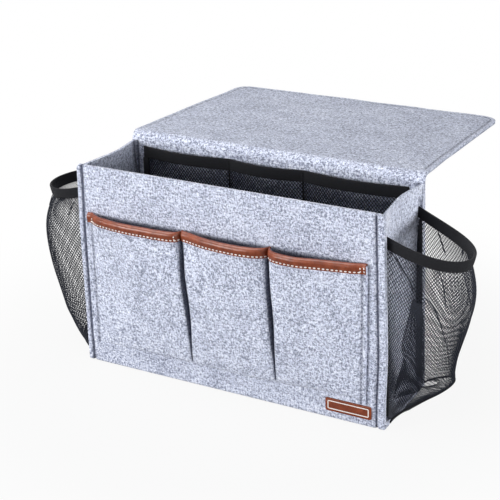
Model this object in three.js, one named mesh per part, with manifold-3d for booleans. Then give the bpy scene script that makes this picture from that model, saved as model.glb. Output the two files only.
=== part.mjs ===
// A felt bedside caddy: an open box with a flap that goes under the mattress, three pleated front
// pockets with leather bindings, a net pocket on the inner back wall and a net bag on each side.
// Millimetres. +X is right seen from the front, +Y points to the bed, +Z is up, and the origin is
// the middle of the underside.
import * as THREE from 'three';
import { mergeVertices } from 'three/addons/utils/BufferGeometryUtils.js';
import Module from 'manifold-3d';

const wasm = await Module();
wasm.setup();

// The box
const MOUTH_WIDTH = 329; // front panel at its top, seam flanges included
const BASE_WIDTH = 338; // the same panel at the floor, because the soft box spreads downwards
const DEPTH = 100;
const FRONT_HEIGHT = 223.5;
const SIDE_BACK_HEIGHT = 218.5; // the side panels fall towards the back, where the flap folds
const FELT = 3;
const BASE_BEND = 10; // outer radius where the front and back turn under
const SEAM_FLANGE = 6; // felt left outside the corner seams
const FLANGE_CORNER = 5; // rounding of the front panel's upper corners

// The flap and its fold
const FOLD_HEIGHT = 228.6;
const FLAP_LENGTH = 231;
const FLAP_END_WIDTH = 321;
const FLAP_CORNER = 18;
const FLAP_DROOP = 4; // degrees below level, as it stands out freely
const FOLD_CLEARANCE = 1; // how much rounder the fold is than the felt is thick

// The front pockets and their bindings
const POCKET_TOP = 174;
const POCKET_BOTTOM = 30;
const POCKET_LEFT = -152; // where the first bay starts
const POCKET_DIVIDERS = [-47, 49];
const POCKET_RIGHT = 146;
const POCKET_GAPE = 9; // how far a pleated mouth stands off the panel
const PLAIN_GAPE = 7; // the same for the last bay, which has no pleat
const PLEAT_FOLD = 3; // width of the fold back to a divider
const POCKET_ALLOWANCE = 4; // flat stitched strip along the sheet's edges
const LEATHER = 0.9;
const BINDING_HEIGHT = 10;
const LABEL_WIDTH = 48.5;
const LABEL_HEIGHT = 14.5;
const LABEL_THICKNESS = 1.2;
const LABEL_MIDDLE_HEIGHT = 16.8;

// The net pocket on the inner back wall
const INNER_DROP = 14.6; // from the fold down to the net's mouth
const INNER_BOTTOM = 18;
const INNER_HALF_WIDTH = 150;
const INNER_DIVIDERS = [-47, 37];
const INNER_GAPE = 6;
const INNER_BAND = 12.5; // height of the elastic band along its mouth
const TAPE_WIDTH = 5;
const TAPE = 1.8;

// The net bags on the sides. A bag goes round from its front seam to its back one as a curve with two
// pulls, front and back, each given outwards from the seams and along the side from its middle.
const RIGHT_MOUTH_PULLS = [[128, -77], [76, 22]];
const RIGHT_FLOOR_PULLS = [[10, -50], [82, 74]];
const RIGHT_BELLY = 0.145; // how much the bag swells between its mouth and floor
const LEFT_MOUTH_PULLS = [[87, -66], [69, 40]];
const LEFT_FLOOR_PULLS = [[78, -48], [62, 60]];
const LEFT_BELLY = 0.33;
const BELLY_RISE = 1.8; // above 1 puts the swelling nearer the mouth
const BAG_FLOOR_ROUND = 27; // height over which a floor rounds in to the seam
const RIM_DROP = 24.5; // from the front panel's top down to the rims at the corner seams
const RIM_DROOP = 11; // how much lower the rims hang between the seams
const RIM_HEIGHT = 11.5;
const RIM_THICKNESS = 2.4;
const RIM_FLARE = 3; // how far a rim's upper edge leans out between the seams
const NET = 1;

const SEAM_GAP = 0.3; // between pieces that lie against each other

const feltGrey = { color: 0xb9bcc6, roughness: 0.95, metalness: 0 };
const leatherBrown = { color: 0x8b4f30, roughness: 0.5, metalness: 0 };
const netBlack = { color: 0x1d1d20, roughness: 0.8, metalness: 0 };
const bindingBlack = { color: 0x141416, roughness: 0.85, metalness: 0 };

const caddy = new THREE.Group();

function add(parent, name, geometry, look) {
  const mesh = new THREE.Mesh(geometry, new THREE.MeshStandardMaterial(look));
  mesh.name = name;
  parent.add(mesh);
  return mesh;
}

// Joining and cutting
function toSolid(geometry) {
  const bare = geometry.clone();
  bare.deleteAttribute('normal');
  bare.deleteAttribute('uv');
  const merged = mergeVertices(bare, 1e-4);
  return new wasm.Manifold(new wasm.Mesh({
    numProp: 3,
    vertProperties: new Float32Array(merged.attributes.position.array),
    triVerts: new Uint32Array(merged.index.array),
  }));
}

function toGeometry(solid) {
  const mesh = solid.getMesh();
  const geometry = new THREE.BufferGeometry();
  geometry.setAttribute('position', new THREE.BufferAttribute(mesh.vertProperties, 3));
  geometry.setIndex(new THREE.BufferAttribute(mesh.triVerts, 1));
  return geometry;
}

const cut = (from, tool) => toGeometry(toSolid(from).subtract(toSolid(tool)));
const common = (a, b) => toGeometry(toSolid(a).intersect(toSolid(b)));

// The box spreads evenly from its mouth to its floor, and everything sewn to it spreads with it.
function spread(geometry) {
  const place = geometry.attributes.position;
  for (let i = 0; i < place.count; i += 1) {
    const below = 1 - place.getZ(i) / FRONT_HEIGHT;
    place.setX(i, place.getX(i) * (1 + (BASE_WIDTH / MOUTH_WIDTH - 1) * below));
  }
  return geometry;
}

function mirrored(geometry) {
  const other = geometry.clone();
  const place = other.attributes.position;
  for (let i = 0; i < place.count; i += 1) place.setX(i, -place.getX(i));
  const corners = other.index.array;
  for (let i = 0; i < corners.length; i += 3) {
    [corners[i + 1], corners[i + 2]] = [corners[i + 2], corners[i + 1]];
  }
  return other;
}

// A profile drawn in Y and Z, run along X
const profileTurn = new THREE.Matrix4().makeBasis(
  new THREE.Vector3(0, 1, 0), new THREE.Vector3(0, 0, 1), new THREE.Vector3(1, 0, 0));

function alongX(profile, start, end) {
  const run = new THREE.ExtrudeGeometry(profile, {
    depth: end - start, bevelEnabled: false, curveSegments: 8,
  });
  return run.applyMatrix4(profileTurn).translate(start, 0, 0);
}

function block(x0, x1, y0, y1, z0, z1) {
  const box = new THREE.BoxGeometry(x1 - x0, y1 - y0, z1 - z0);
  return box.translate((x0 + x1) / 2, (y0 + y1) / 2, (z0 + z1) / 2);
}

// A sheet of even thickness: rows of points on its outer face, thickened on the side away from
// the row direction times the column direction
function sheet(rows, thickness) {
  const rowCount = rows.length;
  const columnCount = rows[0].length;
  const within = (k, count) => Math.min(Math.max(k, 0), count - 1);
  const at = (i, j) => rows[within(i, rowCount)][within(j, columnCount)];
  const outer = [];
  const inner = [];
  for (let i = 0; i < rowCount; i += 1) {
    for (let j = 0; j < columnCount; j += 1) {
      const ahead = at(i, j + 1).clone().sub(at(i, j));
      const behind = at(i, j).clone().sub(at(i, j - 1));
      const along = ahead.normalize().add(behind.normalize());
      const up = at(i + 1, j).clone().sub(at(i - 1, j));
      const normal = along.cross(up).normalize();
      outer.push(...at(i, j).toArray());
      inner.push(...at(i, j).clone().addScaledVector(normal, -thickness).toArray());
    }
  }
  const total = rowCount * columnCount;
  const index = [];
  const quad = (a, b, c, d) => index.push(a, b, c, a, c, d);
  for (let i = 0; i < rowCount - 1; i += 1) {
    for (let j = 0; j < columnCount - 1; j += 1) {
      const a = i * columnCount + j;
      const b = a + 1;
      const c = b + columnCount;
      const d = a + columnCount;
      quad(a, b, c, d);
      quad(total + b, total + a, total + d, total + c);
    }
  }
  for (let j = 0; j < columnCount - 1; j += 1) {
    const top = (rowCount - 1) * columnCount + j;
    quad(total + j, total + j + 1, j + 1, j);
    quad(top, top + 1, total + top + 1, total + top);
  }
  for (let i = 0; i < rowCount - 1; i += 1) {
    const left = i * columnCount;
    const right = left + columnCount - 1;
    quad(left, left + columnCount, total + left + columnCount, total + left);
    quad(total + right, total + right + columnCount, right + columnCount, right);
  }
  const geometry = new THREE.BufferGeometry();
  geometry.setAttribute('position', new THREE.Float32BufferAttribute([...outer, ...inner], 3));
  geometry.setIndex(index);
  return geometry;
}

// Values that the driving dimensions give
const halfWidth = MOUTH_WIDTH / 2;
const frontFace = -DEPTH / 2;
const backFace = DEPTH / 2;
const backInside = backFace - FELT;
const foldRadius = FELT + FOLD_CLEARANCE;
const hinge = new THREE.Vector3(0, backFace - FOLD_CLEARANCE + SEAM_GAP, FOLD_HEIGHT - foldRadius);
const flangeFace = DEPTH / 2 - FELT - SEAM_GAP; // outer faces of the side panels' turned-out edges
const webOutside = halfWidth - SEAM_FLANGE;
const baseTop = FELT + SEAM_GAP; // underside of the side panels
const sideCorner = BASE_BEND - FELT - SEAM_GAP; // outer radius of their lower corners

// The panel that turns under the box with a quarter bend: the lower end of the front and back
function turnUnder(profile, side, top) {
  const bendMiddle = side * (DEPTH / 2 - BASE_BEND);
  profile.moveTo(bendMiddle, 0);
  profile.absarc(bendMiddle, BASE_BEND, BASE_BEND, -Math.PI / 2, side > 0 ? 0 : -Math.PI, side < 0);
  top(profile);
  profile.lineTo(side * (DEPTH / 2 - FELT), BASE_BEND);
  profile.absarc(bendMiddle, BASE_BEND, BASE_BEND - FELT, side > 0 ? 0 : Math.PI,
    side > 0 ? -Math.PI / 2 : 1.5 * Math.PI, side > 0);
  profile.closePath();
  return profile;
}

function frontPanel() {
  const profile = turnUnder(new THREE.Shape(), -1, (outline) => {
    outline.lineTo(frontFace, FRONT_HEIGHT);
    outline.lineTo(frontFace + FELT, FRONT_HEIGHT);
  });
  const strip = alongX(profile, -halfWidth, halfWidth);
  const outline = new THREE.Shape();
  outline.moveTo(-halfWidth, 0);
  outline.lineTo(halfWidth, 0);
  outline.absarc(halfWidth - FLANGE_CORNER, FRONT_HEIGHT - FLANGE_CORNER, FLANGE_CORNER, 0, Math.PI / 2);
  outline.absarc(-halfWidth + FLANGE_CORNER, FRONT_HEIGHT - FLANGE_CORNER, FLANGE_CORNER,
    Math.PI / 2, Math.PI);
  outline.closePath();
  const face = new THREE.ExtrudeGeometry(outline, { depth: DEPTH, bevelEnabled: false, curveSegments: 6 });
  face.rotateX(Math.PI / 2).translate(0, DEPTH / 2, 0);
  return common(strip, face);
}

// The back panel ends in the round fold that the flap turns on.
function backPanel() {
  const behind = backFace - hinge.y;
  const inFront = hinge.y - backInside;
  const startAngle = -Math.acos(behind / foldRadius);
  const endAngle = Math.PI + Math.acos(inFront / foldRadius);
  const profile = turnUnder(new THREE.Shape(), 1, (outline) => {
    outline.absarc(hinge.y, hinge.z, foldRadius, startAngle, endAngle);
  });
  return alongX(profile, -halfWidth, halfWidth);
}

function basePanel() {
  const reach = DEPTH / 2 - BASE_BEND - SEAM_GAP;
  return block(-halfWidth, halfWidth, -reach, reach, 0, FELT);
}

// A side panel is a shallow tray: its edges turn outwards and are sewn to the front, base and back.
function sidePanel() {
  const outline = (inset, frontTop, backTop) => {
    const reach = flangeFace - inset;
    const low = baseTop + inset;
    const radius = sideCorner - inset;
    const shape = new THREE.Shape();
    shape.moveTo(reach, backTop);
    shape.lineTo(-reach, frontTop);
    shape.absarc(-reach + radius, low + radius, radius, Math.PI, 1.5 * Math.PI);
    shape.absarc(reach - radius, low + radius, radius, -Math.PI / 2, 0);
    shape.closePath();
    return shape;
  };
  const tray = alongX(outline(0, FRONT_HEIGHT - FELT / 2, SIDE_BACK_HEIGHT), webOutside - FELT, halfWidth);
  const open = alongX(outline(FELT, FOLD_HEIGHT, FOLD_HEIGHT), webOutside, halfWidth + SEAM_FLANGE);
  return cut(tray, open);
}

function flap() {
  const near = FELT - FOLD_CLEARANCE + 2 * SEAM_GAP;
  const half = FLAP_END_WIDTH / 2;
  const outline = new THREE.Shape();
  outline.moveTo(-halfWidth, near);
  outline.lineTo(halfWidth, near);
  outline.absarc(half - FLAP_CORNER, FLAP_LENGTH - FLAP_CORNER, FLAP_CORNER, 0, Math.PI / 2);
  outline.absarc(-half + FLAP_CORNER, FLAP_LENGTH - FLAP_CORNER, FLAP_CORNER, Math.PI / 2, Math.PI);
  outline.closePath();
  const felt = new THREE.ExtrudeGeometry(outline, { depth: FELT, bevelEnabled: false, curveSegments: 8 });
  felt.translate(0, 0, foldRadius - FELT);
  const roll = new THREE.CylinderGeometry(
    foldRadius + SEAM_GAP, foldRadius + SEAM_GAP, 2 * MOUTH_WIDTH, 48);
  return cut(felt, roll.rotateZ(Math.PI / 2));
}

add(caddy, 'front_panel', spread(frontPanel()), feltGrey);
add(caddy, 'back_panel', spread(backPanel()), feltGrey);
add(caddy, 'base_panel', spread(basePanel()), feltGrey);
const rightSide = spread(sidePanel());
add(caddy, 'right_side_panel', rightSide, feltGrey);
add(caddy, 'left_side_panel', mirrored(rightSide), feltGrey);

const flapGroup = new THREE.Group();
flapGroup.position.copy(hinge);
flapGroup.rotation.x = THREE.MathUtils.degToRad(-FLAP_DROOP);
caddy.add(flapGroup);
add(flapGroup, 'mattress_flap', flap(), feltGrey);

// Pockets are sheets sewn flat along their sides and floor. A mouth is a row of stations across the
// sheet, each with its share of the gape, and the gape grows from the floor up.
const riseShares = [0, 0.03, 0.12, 0.27, 0.42, 0.58, 0.73, 0.88];

function plainBay(from, to, gape) {
  return [...riseShares, 0.97, 1].map((share) => ({
    x: from + share * (to - from), out: gape * Math.sin(Math.PI * share),
  }));
}

// A pleated bay gapes most at its far end, and then folds straight back to the divider.
function pleatedBay(from, to, gape) {
  const ridge = to - PLEAT_FOLD;
  const rise = [...riseShares, 1].map((share) => ({
    x: from + share * (ridge - from), out: gape * Math.sin((Math.PI / 2) * share),
  }));
  return [...rise, { x: ridge + PLEAT_FOLD / 2, out: gape / 2 }, { x: to, out: 0 }];
}

function joinBays(bays) {
  return bays.flatMap((bay, i) => (i === 0 ? bay : bay.slice(1)));
}

// A point on a pocket's outer face, for a wall that faces the front
function pocketPoint(pocket, station, z) {
  const share = Math.min((z - pocket.bottom) / (pocket.top - pocket.bottom), 1);
  const out = (station.out + pocket.lift) * Math.max(share, 0) ** 0.8;
  return new THREE.Vector3(station.x, pocket.wall - SEAM_GAP - pocket.thickness - out, z);
}

function pocketSheet(pocket, top) {
  const rows = [0, 0.08, 0.25, 0.5, 0.75, 1].map((share) => {
    const z = pocket.bottom + share * (top - pocket.bottom);
    return pocket.mouth.map((station) => pocketPoint(pocket, station, z));
  });
  return sheet(rows, pocket.thickness);
}

// The three bays of the front sheet: the left two are pleated at their right end.
const frontBays = [
  pleatedBay(POCKET_LEFT, POCKET_DIVIDERS[0], POCKET_GAPE),
  pleatedBay(POCKET_DIVIDERS[0], POCKET_DIVIDERS[1], POCKET_GAPE),
  plainBay(POCKET_DIVIDERS[1], POCKET_RIGHT, PLAIN_GAPE),
];
const sheetLeft = { x: POCKET_LEFT - POCKET_ALLOWANCE, out: 0 };
const sheetRight = { x: POCKET_RIGHT + POCKET_ALLOWANCE, out: 0 };
const frontPocket = {
  bottom: POCKET_BOTTOM,
  top: POCKET_TOP,
  wall: frontFace,
  lift: LEATHER + SEAM_GAP, // room for the binding behind the sheet's top edge
  thickness: FELT,
  mouth: [sheetLeft, ...joinBays(frontBays), sheetRight],
};
const bindingRadius = FELT / 2 + SEAM_GAP + LEATHER;
const bindingShoulder = POCKET_TOP - bindingRadius; // where the binding starts to turn over the felt
add(caddy, 'front_pocket_sheet', spread(pocketSheet(frontPocket, bindingShoulder)), feltGrey);

// A binding is a leather strip folded over the sheet's top edge: up its face, over and down behind.
function binding(bay) {
  const foot = POCKET_TOP - BINDING_HEIGHT;
  const turns = [0, 0.25, 0.5, 0.75, 1].map((share) => share * Math.PI);
  const section = [
    { off: bindingRadius - FELT / 2, z: foot },
    ...turns.map((turn) => ({
      off: bindingRadius * Math.cos(turn) - FELT / 2,
      z: bindingShoulder + bindingRadius * Math.sin(turn),
    })),
    { off: -bindingRadius - FELT / 2, z: foot },
  ];
  const rows = section.map(({ off, z }) => bay.map((station, i) => {
    const face = pocketPoint(frontPocket, station, z);
    const before = pocketPoint(frontPocket, bay[Math.max(i - 1, 0)], z);
    const after = pocketPoint(frontPocket, bay[Math.min(i + 1, bay.length - 1)], z);
    const ahead = after.sub(face).normalize();
    const across = ahead.add(face.clone().sub(before).normalize());
    const outwards = new THREE.Vector3(across.y, -across.x, 0).normalize();
    return face.addScaledVector(outwards, off);
  }));
  return sheet(rows, LEATHER);
}

// Each binding stops just short of the dividers, where the sheet is sewn down.
const boundBays = {
  left: [sheetLeft, ...frontBays[0].slice(0, -1)],
  middle: frontBays[1].slice(1, -1),
  right: [...frontBays[2].slice(1), sheetRight],
};
for (const [place, stations] of Object.entries(boundBays)) {
  add(caddy, `${place}_pocket_binding`, spread(binding(stations)), leatherBrown);
}

const labelBack = frontFace - SEAM_GAP;
add(caddy, 'leather_label', spread(block(
  sheetRight.x - LABEL_WIDTH, sheetRight.x, labelBack - LABEL_THICKNESS, labelBack,
  LABEL_MIDDLE_HEIGHT - LABEL_HEIGHT / 2, LABEL_MIDDLE_HEIGHT + LABEL_HEIGHT / 2,
)), leatherBrown);

// The inner net hangs from its band, with tape along its sides and floor.
const innerStops = [-INNER_HALF_WIDTH, ...INNER_DIVIDERS, INNER_HALF_WIDTH];
const innerTop = FOLD_HEIGHT - INNER_DROP;
const innerNet = {
  bottom: INNER_BOTTOM,
  top: innerTop,
  wall: backInside - (TAPE - NET) / 2,
  lift: 0,
  thickness: NET,
  mouth: joinBays(innerStops.slice(1).map((stop, i) => plainBay(innerStops[i], stop, INNER_GAPE))),
};
const bandFoot = innerTop - INNER_BAND;
add(caddy, 'inner_net', spread(pocketSheet(innerNet, bandFoot - SEAM_GAP)), netBlack);
const innerBand = { ...innerNet, wall: backInside, thickness: TAPE };
add(caddy, 'inner_net_band', spread(sheet(
  [bandFoot, innerTop].map((z) => innerBand.mouth.map((station) => pocketPoint(innerBand, station, z))),
  TAPE,
)), bindingBlack);
const tapeBack = backInside - SEAM_GAP;
const tapeStart = INNER_HALF_WIDTH + SEAM_GAP;
const rightTape = spread(block(
  tapeStart, tapeStart + TAPE_WIDTH, tapeBack - TAPE, tapeBack, INNER_BOTTOM - TAPE_WIDTH, innerTop));
add(caddy, 'inner_net_right_tape', rightTape, bindingBlack);
add(caddy, 'inner_net_left_tape', mirrored(rightTape), bindingBlack);
add(caddy, 'inner_net_floor_tape', spread(block(
  -INNER_HALF_WIDTH, INNER_HALF_WIDTH, tapeBack - TAPE, tapeBack,
  INNER_BOTTOM - TAPE_WIDTH - SEAM_GAP, INNER_BOTTOM - SEAM_GAP,
)), bindingBlack);

// A side bag hangs from its rim, which is lower between the corner seams than at them.
const bagEdge = halfWidth - SEAM_FLANGE / 2;
const bagSeam = flangeFace - FELT - TAPE - NET - 3 * SEAM_GAP;
const bagFloor = baseTop + FELT + SEAM_GAP;
const seamTop = FRONT_HEIGHT - RIM_DROP;
const aroundShares = Array.from({ length: 17 }, (_, i) => i / 16);
const roundShares = [0, 0.1, 0.25, 0.5, 0.75, 1];
const wallShares = [0.15, 0.35, 0.55, 0.8, 1];
const rightBag = { mouth: RIGHT_MOUTH_PULLS, floor: RIGHT_FLOOR_PULLS, belly: RIGHT_BELLY };
const leftBag = { mouth: LEFT_MOUTH_PULLS, floor: LEFT_FLOOR_PULLS, belly: LEFT_BELLY };

const rimTop = (around) => seamTop - RIM_DROOP * (1 - (2 * around - 1) ** 4);
const rimFoot = (around) => rimTop(around) - RIM_HEIGHT;

// A point of a bag: its plan at that height, from the mouth's pulls to the floor's, swollen between
// them and rounded in at the floor
function bagPoint(bag, around, z, out = 0) {
  const share = (z - bagFloor) / (rimFoot(around) - bagFloor);
  const belly = 1 + bag.belly * Math.sin(Math.PI * Math.max(share, 0) ** BELLY_RISE);
  const round = Math.min((z - bagFloor) / BAG_FLOOR_ROUND, 1);
  const least = NET / BAG_FLOOR_ROUND;
  const open = least + (1 - least) * Math.sqrt(1 - (1 - round) ** 2);
  const seam = bagSeam - sideCorner * Math.max(1 - (z - bagFloor) / (2 * sideCorner), 0);
  const pull = (corner, home) => {
    const outwards = THREE.MathUtils.lerp(bag.floor[corner][0], bag.mouth[corner][0], share);
    const along = THREE.MathUtils.lerp(bag.floor[corner][1], bag.mouth[corner][1], share);
    return new THREE.Vector2(outwards * belly * open, home + (along - home) * open);
  };
  const plan = new THREE.CubicBezierCurve(
    new THREE.Vector2(0, -seam), pull(0, -seam), pull(1, seam), new THREE.Vector2(0, seam));
  const place = plan.getPoint(around);
  const direction = plan.getTangent(around);
  return new THREE.Vector3(
    bagEdge + place.x + out * direction.y, place.y - out * direction.x, z);
}

function netBag(bag) {
  const roundTop = bagFloor + BAG_FLOOR_ROUND;
  const roundRows = roundShares.map((share) => aroundShares.map(
    (around) => bagPoint(bag, around, bagFloor + share * BAG_FLOOR_ROUND)));
  const wallRows = wallShares.map((share) => aroundShares.map((around) => {
    const top = rimFoot(around) - SEAM_GAP;
    return bagPoint(bag, around, roundTop + share * (top - roundTop));
  }));
  return sheet([...roundRows, ...wallRows], NET);
}

function netRim(bag) {
  const rows = [0, 1].map((share) => aroundShares.map((around) => {
    const flare = share * RIM_FLARE * Math.sin(Math.PI * around);
    const foot = bagPoint(bag, around, rimFoot(around), (RIM_THICKNESS - NET) / 2 + flare);
    return foot.setZ(foot.z + share * RIM_HEIGHT);
  }));
  return sheet(rows, RIM_THICKNESS);
}

function cornerTape(side) {
  const back = side * (flangeFace - FELT - SEAM_GAP);
  const front = back - side * TAPE;
  return block(
    webOutside + SEAM_GAP, halfWidth - SEAM_GAP, Math.min(back, front), Math.max(back, front),
    bagFloor + sideCorner, seamTop - RIM_HEIGHT - RIM_DROOP / 3);
}

function addBag(side, bag, turn) {
  const pieces = {
    net_bag: [netBag(bag), netBlack],
    net_rim: [netRim(bag), bindingBlack],
    net_front_tape: [cornerTape(-1), bindingBlack],
    net_back_tape: [cornerTape(1), bindingBlack],
  };
  for (const [name, [geometry, look]] of Object.entries(pieces)) {
    add(caddy, `${side}_${name}`, turn(spread(geometry)), look);
  }
}

addBag('right', rightBag, (geometry) => geometry);
addBag('left', leftBag, mirrored);

export default caddy;
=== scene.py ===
# %% [markdown]
# # A felt bedside caddy
# The caddy is an open box of thick grey felt with a wide flap that lies under a mattress. It has
# pleated front pockets with leather bindings, a net bag at each side and a net pocket inside.
# The CAD model is loaded first and stays fixed. All that shows is then made as cloth around it,
# because felt, net and leather have forms and surfaces that plain solids lack.

# %% The frame
import math

import bmesh
import bpy
from mathutils import Matrix, Vector, noise
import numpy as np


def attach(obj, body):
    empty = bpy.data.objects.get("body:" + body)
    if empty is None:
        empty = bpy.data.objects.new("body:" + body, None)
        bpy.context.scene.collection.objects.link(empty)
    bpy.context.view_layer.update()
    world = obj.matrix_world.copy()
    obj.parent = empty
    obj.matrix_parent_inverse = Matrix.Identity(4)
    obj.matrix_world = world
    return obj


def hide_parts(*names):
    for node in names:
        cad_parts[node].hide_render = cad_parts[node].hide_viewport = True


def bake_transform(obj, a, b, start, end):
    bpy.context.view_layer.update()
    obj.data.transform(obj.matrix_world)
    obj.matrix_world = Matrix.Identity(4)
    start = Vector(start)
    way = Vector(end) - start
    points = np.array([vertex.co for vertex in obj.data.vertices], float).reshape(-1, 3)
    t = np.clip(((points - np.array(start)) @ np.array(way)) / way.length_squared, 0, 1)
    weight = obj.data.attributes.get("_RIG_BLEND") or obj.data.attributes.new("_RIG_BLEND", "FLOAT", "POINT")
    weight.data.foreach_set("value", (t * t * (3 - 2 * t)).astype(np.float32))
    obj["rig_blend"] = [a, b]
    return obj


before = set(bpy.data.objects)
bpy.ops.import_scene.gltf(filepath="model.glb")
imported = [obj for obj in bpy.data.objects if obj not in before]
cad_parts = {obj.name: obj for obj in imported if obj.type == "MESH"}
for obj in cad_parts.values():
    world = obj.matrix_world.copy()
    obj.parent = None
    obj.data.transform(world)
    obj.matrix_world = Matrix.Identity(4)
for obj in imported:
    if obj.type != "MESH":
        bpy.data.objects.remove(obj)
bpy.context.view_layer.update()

# %% [markdown]
# ## The camera
# The photograph looks down at the right front corner from about 1.3 m, with a longish lens and a
# slight roll. These angles were fitted to the box's printed sizes and to the corners in the
# photograph. The lens is given for an image as wide as the sensor.

# %% The camera
MM = 0.001
AZIMUTH, ELEVATION, ROLL = (math.radians(angle) for angle in (29.325, 24.054, -2.173))
DISTANCE = 1299.3 * MM
AIM = Vector((-0.735, 0, 139.211)) * MM

camera = bpy.data.objects.new("camera", bpy.data.cameras.new("camera"))
bpy.context.scene.collection.objects.link(camera)
camera.data.sensor_width = 36
camera.data.lens = 36 * 1299.95 / 500
backwards = Vector((
    math.sin(AZIMUTH) * math.cos(ELEVATION),
    -math.cos(AZIMUTH) * math.cos(ELEVATION),
    math.sin(ELEVATION),
))
rightwards = Vector((math.cos(AZIMUTH), math.sin(AZIMUTH), 0))
upwards = backwards.cross(rightwards)
turn = Matrix((rightwards, upwards, backwards)).transposed() @ Matrix.Rotation(ROLL, 3, "Z")
camera.matrix_world = Matrix.LocRotScale(AIM + backwards * DISTANCE, turn.to_quaternion(), None)
bpy.context.scene.camera = camera
print("camera at", [round(x, 3) for x in camera.matrix_world.translation])

# %% [markdown]
# ## Shader maths in Python
# A material is a graph of nodes. To write it as sums, one small class wraps a node's output
# socket and gives it Python's operators. Each operator adds a Math node. One method adds any
# other node, with its settings first and then what feeds its sockets.

# %% A value in a material
class Fibre:
    """A value that runs through a material's nodes."""

    def __init__(self, tree, socket=None):
        self.tree = tree
        self.socket = socket

    def node(self, kind, settings=None, sockets=None, output=0):
        """Another node of the same material: its settings, then what feeds its sockets."""
        made = self.tree.nodes.new(kind)
        for name, value in (settings or {}).items():
            if name == "stops":
                while len(made.color_ramp.elements) < len(value):
                    made.color_ramp.elements.new(0.5)
                for element, (position, colour) in zip(made.color_ramp.elements, value):
                    element.position = position
                    element.color = colour
            else:
                setattr(made, name, value)
        for key, value in (sockets or {}).items():
            if isinstance(value, Fibre):
                self.tree.links.new(value.socket, made.inputs[key])
            else:
                made.inputs[key].default_value = value
        return Fibre(self.tree, made.outputs[output])

    def sum(self, operation, first, second):
        return self.node("ShaderNodeMath", {"operation": operation}, {0: first, 1: second})

    def __add__(self, other):
        return self.sum("ADD", self, other)

    def __radd__(self, other):
        return self.sum("ADD", other, self)

    def __sub__(self, other):
        return self.sum("SUBTRACT", self, other)

    def __rsub__(self, other):
        return self.sum("SUBTRACT", other, self)

    def __mul__(self, other):
        return self.sum("MULTIPLY", self, other)

    def __rmul__(self, other):
        return self.sum("MULTIPLY", other, self)


def paint(red, green, blue):
    """A colour written as on a screen, from 0 to 255, as Blender's linear numbers."""
    parts = [part / 255 for part in (red, green, blue)]
    return [p / 12.92 if p < 0.04 else ((p + 0.055) / 1.055) ** 2.4 for p in parts] + [1]


def new_finish(name, **constants):
    """A material, its shader, and a fibre to start its maths from."""
    material = bpy.data.materials.new(name)
    material.use_nodes = True
    shader = material.node_tree.nodes["Principled BSDF"]
    for socket, value in constants.items():
        shader.inputs[socket.replace("_", " ")].default_value = value
    return material, shader, Fibre(material.node_tree)


def feed(shader, **fibres):
    """Links what changes over the surface to the shader's sockets."""
    for socket, fibre in fibres.items():
        fibre.tree.links.new(fibre.socket, shader.inputs[socket.replace("_", " ")])


print("shader helpers are ready")

# %% [markdown]
# ## Felt
# The felt is pressed from pale and dark grey-blue fibres, so it is flecked all over at one to
# three millimetres and softly mottled at a larger scale. An image could show that, but it would
# stretch at the folds. Here solid noise is read at the place where each bit of felt lies at rest,
# kept in the attribute "cut" in millimetres, so the flecks move with the cloth and have no seams.
# Another attribute holds how deep each seam presses the felt, and in colour it is painted shade:
# it darkens the felt in the seams' grooves, in creases and where one ply shades another. Below
# zero it is painted light that makes cut edges paler.

# %% The felt finish
def place_in_cloth(begin):
    """Where a point lies in its cloth's own millimetres."""
    return begin.node("ShaderNodeAttribute", {"attribute_name": "cut"}, output=1)


def flecks(place, scale, detail, stretch=(1, 1, 1), turned=(0, 0, 0)):
    """Noise with about this many lumps a millimetre, stretched along an axis into fibres."""
    laid = place.node("ShaderNodeMapping", sockets={0: place, "Rotation": turned, "Scale": stretch})
    sockets = {"Vector": laid, "Scale": scale, "Detail": detail, "Roughness": 0.65}
    return place.node("ShaderNodeTexNoise", sockets=sockets)


def tones(level, *stops):
    """A ramp of colours, each at its own level from 0 to 1."""
    return level.node("ShaderNodeValToRGB", {"stops": stops}, {0: level})


def relief(height, strength, distance):
    """A fine relief that bends the light, its distance in metres."""
    sockets = {"Strength": strength, "Distance": distance, "Height": height}
    return height.node("ShaderNodeBump", sockets=sockets)


felt, felt_shader, start = new_finish(
    "heathered_felt", Roughness=0.95, Specular_IOR_Level=0.15, Sheen_Weight=0.25, Sheen_Roughness=0.6)
cut_place = place_in_cloth(start)
painted_light_level = start.node("ShaderNodeAttribute", {"attribute_name": "sewn"}, output=2)
coarse = flecks(cut_place, 0.46, 3)
fine = flecks(cut_place, 1.2, 2)
level_fibres = flecks(cut_place, 0.7, 2, stretch=(0.28, 1.5, 1.5))
slanted_fibres = flecks(cut_place, 0.75, 2, stretch=(1.5, 1.5, 0.3), turned=(0.5, 0.8, 0.3))
mottle = flecks(cut_place, 0.035, 2)
heather = (
    coarse * 1.5 + fine * 0.95 + level_fibres * 0.75 + slanted_fibres * 0.75 + mottle * 0.25 - 1.6)
felt_tone = tones(
    heather,
    (0.30, paint(116, 122, 142)),
    (0.42, paint(168, 174, 195)),
    (0.52, paint(195, 201, 222)),
    (0.64, paint(216, 222, 240)),
    (0.78, paint(237, 241, 252)))
# Painted shade darkens the felt where the attribute is above zero, and painted light makes it paler below
# zero.
painted_shade = start.node(
    "ShaderNodeMix", {"data_type": "RGBA", "blend_type": "MULTIPLY"},
    {0: painted_light_level * 0.7, 6: felt_tone, 7: paint(92, 96, 113)}, output=2)
painted_edge_light = start.node(
    "ShaderNodeMix", {"data_type": "RGBA"},
    {0: painted_light_level * -0.6, 6: painted_shade, 7: paint(240, 244, 253)}, output=2)
feed(felt_shader, Base_Color=painted_edge_light, Normal=relief(heather * 2, 0.55, 0.0006))
print("felt:", len(felt.node_tree.nodes), "nodes")

# %% [markdown]
# ## Leather
# The pockets' bindings and the label are of smooth brown leather. It is a little blotchy, has a
# fine grain and a soft gloss that varies with its pores. One even brown would look like plastic,
# so Voronoi cells give the grain, and noise gives the blotches and pores.

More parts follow.
